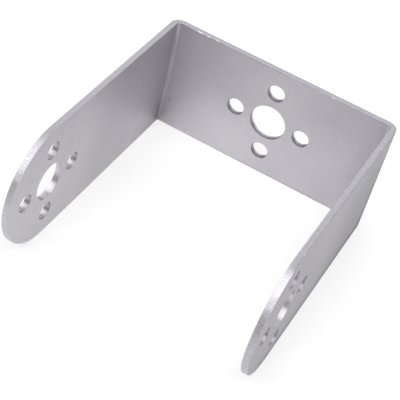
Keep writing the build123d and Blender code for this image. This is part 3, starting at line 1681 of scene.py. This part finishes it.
@dataclass(frozen=True)
class CutWear:
    """Where the cut edge is duller or brighter than the rest, each the product of its ramps.

    Some of it is painted shade and painted highlight.

    Args:
        shadow_breaks: pattern that breaks up the painted shadow line under the inner rim.
        shadow_strength: strength of that line by the pattern.
        shadow_height: its strength by the height through the sheet.
        shadow_across: its strength across the bracket, on the left and at the right fold.
        pressed_height: the stripe that the press left along the outer side of the web's cut.
        pressed_depth: its end towards the arms, by y.
        rolled_height: the stripe along the outer side of the right arm's cut.
        rolled_across: its end at the right fold.
        groove_lift: what is added to the height by which the grooves fade, across the bracket.
        groove_fade: strength of the grooves by the height so raised.
        low_height: the lower part of the tips, darkened as painted shade.
        low_across: its strength across the bracket.
        highlight_height: height of the painted highlight's middle, on the left tip.
        highlight_fade: its strength by the distance from that height.
        highlight_across: its strength across the bracket.
    """

    shadow_breaks: Speckle = Speckle(260.0, 3.0)
    shadow_strength: Ramp = Ramp(0.35, 0.65, 0.1, 0.45)
    shadow_height: Ramp = Ramp(0.0, 0.02 * MM, 1.0, 0.0)
    shadow_across: tuple[Ramp, Ramp] = (
        Ramp(-14.0 * MM, 0.0, 0.1, 1.0),
        Ramp(23.0 * MM, 24.0 * MM, 1.0, 0.0),
    )
    pressed_height: Ramp = Ramp(0.4 * MM, 0.8 * MM, 0.0, 0.11)
    pressed_depth: Ramp = Ramp(-6.0 * MM, -3.0 * MM)
    rolled_height: Ramp = Ramp(0.95 * MM, 1.15 * MM, 0.0, 0.2)
    rolled_across: Ramp = Ramp(24.0 * MM, 25.5 * MM)
    groove_lift: Ramp = Ramp(-20.0 * MM, 20.0 * MM, 2.0 * MM, 0.0)
    groove_fade: Ramp = Ramp(8.5 * MM, 11.5 * MM, 1.0, 0.35)
    low_height: Ramp = Ramp(4.0 * MM, 6.0 * MM, 0.16, 0.0)
    low_across: Ramp = Ramp(-24.0 * MM, 24.0 * MM, 0.1, 1.0)
    highlight_height: float = 8.2 * MM
    highlight_fade: Ramp = Ramp(0.3 * MM, 4.0 * MM, 0.38, 0.0)
    highlight_across: Ramp = Ramp(-20.0 * MM, 20.0 * MM, 1.0, 0.0)

    def burr_shadow_line(self, sheet: SheetGraph) -> Socket:
        """Draws the painted shadow line that the burr casts under the inner rim.

        Args:
            sheet: the material's nodes.

        Returns:
            The socket of the line's strength.
        """
        breaks = (sheet.noise(sheet.solid, self.shadow_breaks), self.shadow_strength)
        across = ((sheet.xyz[0], ramp) for ramp in self.shadow_across)
        return sheet.ramps(breaks, (sheet.height, self.shadow_height), *across)

    def pressed_stripe(self, sheet: SheetGraph) -> Socket:
        """Draws the stripe along the outer side of the web's cut."""
        return sheet.ramps((sheet.height, self.pressed_height), (sheet.xyz[1], self.pressed_depth))

    def rolled_stripe(self, sheet: SheetGraph) -> Socket:
        """Draws the stripe along the outer side of the right arm's cut, where it wasn't milled."""
        stripe = sheet.ramps((sheet.height, self.rolled_height), (sheet.xyz[0], self.rolled_across))
        return sheet.product(stripe, sheet.ramp(sheet.milled, REVERSED))

    def grooved(self, sheet: SheetGraph, grooves: Socket) -> Socket:
        """Fades the grooves towards the upper part of the tips.

        Args:
            sheet: the material's nodes.
            grooves: socket of the grooves' strength.

        Returns:
            The socket of what is left of them.
        """
        raised = sheet.total(sheet.xyz[2], sheet.ramp(sheet.xyz[0], self.groove_lift))
        return sheet.product(sheet.milled, grooves, sheet.ramp(raised, self.groove_fade))

    def lower_tip_shade(self, sheet: SheetGraph) -> Socket:
        """Draws the painted shade on the lower part of the tips."""
        low = sheet.ramps((sheet.xyz[2], self.low_height), (sheet.xyz[0], self.low_across))
        return sheet.product(sheet.milled, low)

    def painted_tip_highlight(self, sheet: SheetGraph) -> Socket:
        """Draws the painted highlight that widens the left tip's bright band.

        Args:
            sheet: the material's nodes.

        Returns:
            The socket of the highlight's strength.
        """
        off = sheet.far_from(sheet.xyz[2], self.highlight_height)
        spot = sheet.ramps((off, self.highlight_fade), (sheet.xyz[0], self.highlight_across))
        return sheet.product(sheet.milled, spot)


@dataclass(frozen=True)
class PunchedFinish:
    """Walls of the punched holes: sheared metal with faint streaks, torn and darker along one rim.

    The torn band is partly painted shade, mostly in the web's holes.

    Args:
        colour: colour of the wall.
        shade: colour of the streaks.
        reamed: colour of the bores' walls, which were reamed afterwards.
        torn: colour of the torn band along the inner skin, partly painted shade.
        streaks: pattern of the streaks.
        streak_tone: how far the streaks go from shade to colour.
        reamed_streaks: how far a reamed wall goes towards its colour, by the streaks.
        arm_hole_highlight: how far the arms' small holes, which are smoother, go towards the bores'
        colour, as a painted highlight that brightens their glints.
        on_arms: what tells the arms' holes from the web's, by the distance from the strip's middle.
        torn_height: height through the sheet up to which the wall is torn.
        torn_ragged: how far the streaks draw the torn band's end.
        torn_fade: length over which the torn band ends.
        torn_strength: strength of the torn band.
        torn_on_arms: what is left of it on the arms.
        roughness: roughness of the wall by the streaks.
        torn_roughness: what the torn band adds to the roughness.
        relief: relief of the streaks.
    """

    colour: Colour = (0.48, 0.47, 0.50, 1.0)
    shade: Colour = (0.40, 0.39, 0.42, 1.0)
    reamed: Colour = (0.64, 0.63, 0.66, 1.0)
    torn: Colour = (0.22, 0.21, 0.24, 1.0)
    streaks: Speckle = Speckle(2200.0, 2.0, 0.6)
    streak_tone: Ramp = Ramp(0.35, 0.65)
    reamed_streaks: Ramp = Ramp(0.35, 0.6, 0.75, 1.0)
    arm_hole_highlight: float = 0.4
    on_arms: Ramp = Ramp(14.0 * MM, 24.0 * MM)
    torn_height: float = 0.8 * MM
    torn_ragged: float = 0.5 * MM
    torn_fade: float = 0.4 * MM
    torn_strength: float = 0.8
    torn_on_arms: float = 0.2
    roughness: Ramp = Ramp(0.3, 0.7, 0.34, 0.44)
    torn_roughness: float = 0.15
    relief: Relief = Relief(0.2, 0.01 * MM)

    def build(self) -> bpy.types.Material:
        """Makes the material: streaks that run through the sheet, and the torn band.

        The torn band is partly painted shade.

        Returns:
            The material.
        """
        sheet = SheetGraph("punched_aluminium")
        streaks = sheet.noise(sheet.streaked, self.streaks)
        reamed = sheet.product(sheet.milled, sheet.ramp(streaks, self.reamed_streaks))
        arm_hole_highlight = sheet.ramps((sheet.distance, self.on_arms), (sheet.milled, REVERSED))
        torn = self.torn_shaded_band(sheet, streaks)
        layers = (
            (reamed, self.reamed),
            # painted highlight: the arms' small holes lightened to brighten their glints
            (sheet.product(arm_hole_highlight, self.arm_hole_highlight), self.reamed),
            # torn band along the inner skin, partly painted shade, mostly in the web's holes
            (torn, self.torn),
        )
        wall = sheet.blend(sheet.ramp(streaks, self.streak_tone), self.shade, self.colour)
        rough = sheet.total(sheet.ramp(streaks, self.roughness), sheet.product(torn, self.torn_roughness))
        relief = sheet.bump(streaks, self.relief.strength, self.relief.depth)
        return sheet.metal(sheet.layered(wall, layers), rough, relief)

    def torn_shaded_band(self, sheet: SheetGraph, streaks: Socket) -> Socket:
        """Draws the torn band: full at the inner skin, down to 0 at its ragged end, less on the arms.

        It is partly painted shade.

        Args:
            sheet: the material's nodes.
            streaks: socket of the streaks, which make the band's end ragged.

        Returns:
            The socket of the band's strength.
        """
        height = sheet.total(sheet.height, sheet.product(streaks, self.torn_ragged))
        end = self.torn_height + self.torn_fade
        band = sheet.ramp(height, Ramp(self.torn_height, end, self.torn_strength, 0.0))
        kept = replace(self.on_arms, start=1.0, end=self.torn_on_arms)
        return sheet.product(band, sheet.ramp(sheet.distance, kept))


@dataclass(frozen=True)
class SoftLight:
    """A flat soft light that looks at the bracket.

    Args:
        name: the light's name.
        place: where it stands.
        size: its width and height.
        power: its power in watts.
    """

    name: str
    place: tuple[float, float, float]
    size: tuple[float, float]
    power: float

    def build(self, aim: Vector) -> None:
        """Makes the light and turns it towards the bracket.

        Args:
            aim: what it looks at.
        """
        data = bpy.data.lights.new(self.name, "AREA")
        data.shape = "RECTANGLE"
        data.size, data.size_y = self.size
        data.energy = self.power
        lamp = bpy.data.objects.new(self.name, data)
        lamp.location = self.place
        lamp.rotation_mode = "QUATERNION"
        lamp.rotation_quaternion = (aim - lamp.location).to_track_quat("-Z", "Y")
        bpy.context.scene.collection.objects.link(lamp)


@dataclass(frozen=True)
class Viewpoint:
    """The camera's place, given by directions from the bracket.

    Args:
        azimuth: degrees round the bracket, 0 looking along +y.
        elevation: degrees above the floor.
        roll: degrees that the camera leans to its left.
        distance: metres from its aim.
        aim: what it looks at.
        lens: focal length in millimetres on a sensor of the usual 36 mm.
        nearest: how close to the camera it still sees.
    """

    azimuth: float = 18.68
    elevation: float = 42.36
    roll: float = 15.13
    distance: float = 0.22901
    aim: tuple[float, float, float] = (-0.00005, -0.03111, -0.00088)
    lens: float = 105.16
    nearest: float = 0.01

    def build(self) -> None:
        """Makes the camera: place = aim + distance (sin az cos el, -cos az cos el, sin el)."""
        around, above = math.radians(self.azimuth), math.radians(self.elevation)
        level = math.cos(above)
        back = Vector((math.sin(around) * level, -math.cos(around) * level, math.sin(above)))
        data = bpy.data.cameras.new("camera")
        data.lens = self.lens
        data.clip_start = self.nearest
        camera = bpy.data.objects.new("camera", data)
        camera.location = Vector(self.aim) + self.distance * back
        camera.rotation_mode = "QUATERNION"
        lean = Quaternion((0.0, 0.0, 1.0), math.radians(self.roll))
        camera.rotation_quaternion = (-back).to_track_quat("-Z", "Y") @ lean
        bpy.context.scene.collection.objects.link(camera)
        bpy.context.scene.camera = camera


@dataclass(frozen=True)
class Studio:
    """A plain pale floor under a pale sky, with soft lights.

    Args:
        floor_half: half the floor's side.
        floor_tone: how pale the floor is.
        floor_glow: light that the floor gives of itself, as a lit table does.
        floor_roughness: roughness of the floor.
        floor_shine: how much it mirrors.
        sky: strength of the light from all round.
        lights: the soft lights.
        view: the camera.
    """

    floor_half: float = 3.0
    floor_tone: float = 0.57
    floor_glow: float = 0.51
    floor_roughness: float = 0.9
    floor_shine: float = 0.1
    sky: float = 0.13
    lights: Sequence[SoftLight] = (
        SoftLight("key", (-0.08, -0.30, 0.62), (0.85, 0.85), 4.65),
        SoftLight("right", (0.25, -0.05, 0.65), (0.45, 0.45), 1.12),
        SoftLight("back", (-0.15, 0.60, 0.50), (1.20, 0.50), 2.10),
        SoftLight("back_right", (0.50, 0.50, 0.30), (0.90, 0.40), 0.80),
    )
    view: Viewpoint = Viewpoint()

    def build(self) -> None:
        """Makes the floor, the sky, the lights and the camera."""
        scene = bpy.context.scene
        scene.view_settings.view_transform = "Standard"
        world = bpy.data.worlds.new("sky")
        world.use_nodes = True
        background = world.node_tree.nodes["Background"]
        background.inputs["Color"].default_value = WHITE
        background.inputs["Strength"].default_value = self.sky
        scene.world = world
        aim = Vector(self.view.aim)
        for light in self.lights:
            light.build(aim)
        self.view.build()
        self.floor()

    def floor(self) -> None:
        """Makes the floor at the bracket's lowest point."""
        level, half = CAD_BOX[0][2], self.floor_half
        corners = [(x * half, y * half, level) for x, y in ((-1, -1), (1, -1), (1, 1), (-1, 1))]
        mesh = bpy.data.meshes.new("floor")
        mesh.from_pydata(corners, [], [(0, 1, 2, 3)])
        graph = NodeGraph("floor_paper")
        looks = {
            "Base Color": (self.floor_tone,) * 3 + (1.0,),
            "Roughness": self.floor_roughness,
            "Specular IOR Level": self.floor_shine,
            "Emission Color": WHITE,
            "Emission Strength": self.floor_glow,
        }
        for key, look in looks.items():
            graph.shader.inputs[key].default_value = look
        mesh.materials.append(graph.material)
        floor = bpy.data.objects.new("floor", mesh)
        bpy.context.scene.collection.objects.link(floor)


def dress_bracket(record: Mapping[str, Any]) -> bpy.types.Object:
    """Makes the folded sheet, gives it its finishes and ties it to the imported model.

    Args:
        record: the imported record.

    Returns:
        The finished piece.
    """
    sizes = BracketSizes.from_record(record)
    piece = FoldedStrip(sizes).build("folded_sheet")
    for finish in (BlastedFinish(sizes), CutFinish(), PunchedFinish()):
        piece.data.materials.append(finish.build())
    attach(piece, "root")
    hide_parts("bracket")
    log.info("%s: %d points, %d faces", piece.name, len(piece.data.vertices), len(piece.data.polygons))
    return piece


def main() -> None:
    """Builds the bracket, then the studio round it."""
    dress_bracket(frame["record"])
    Studio().build()


if __name__ == "__main__":
    main()
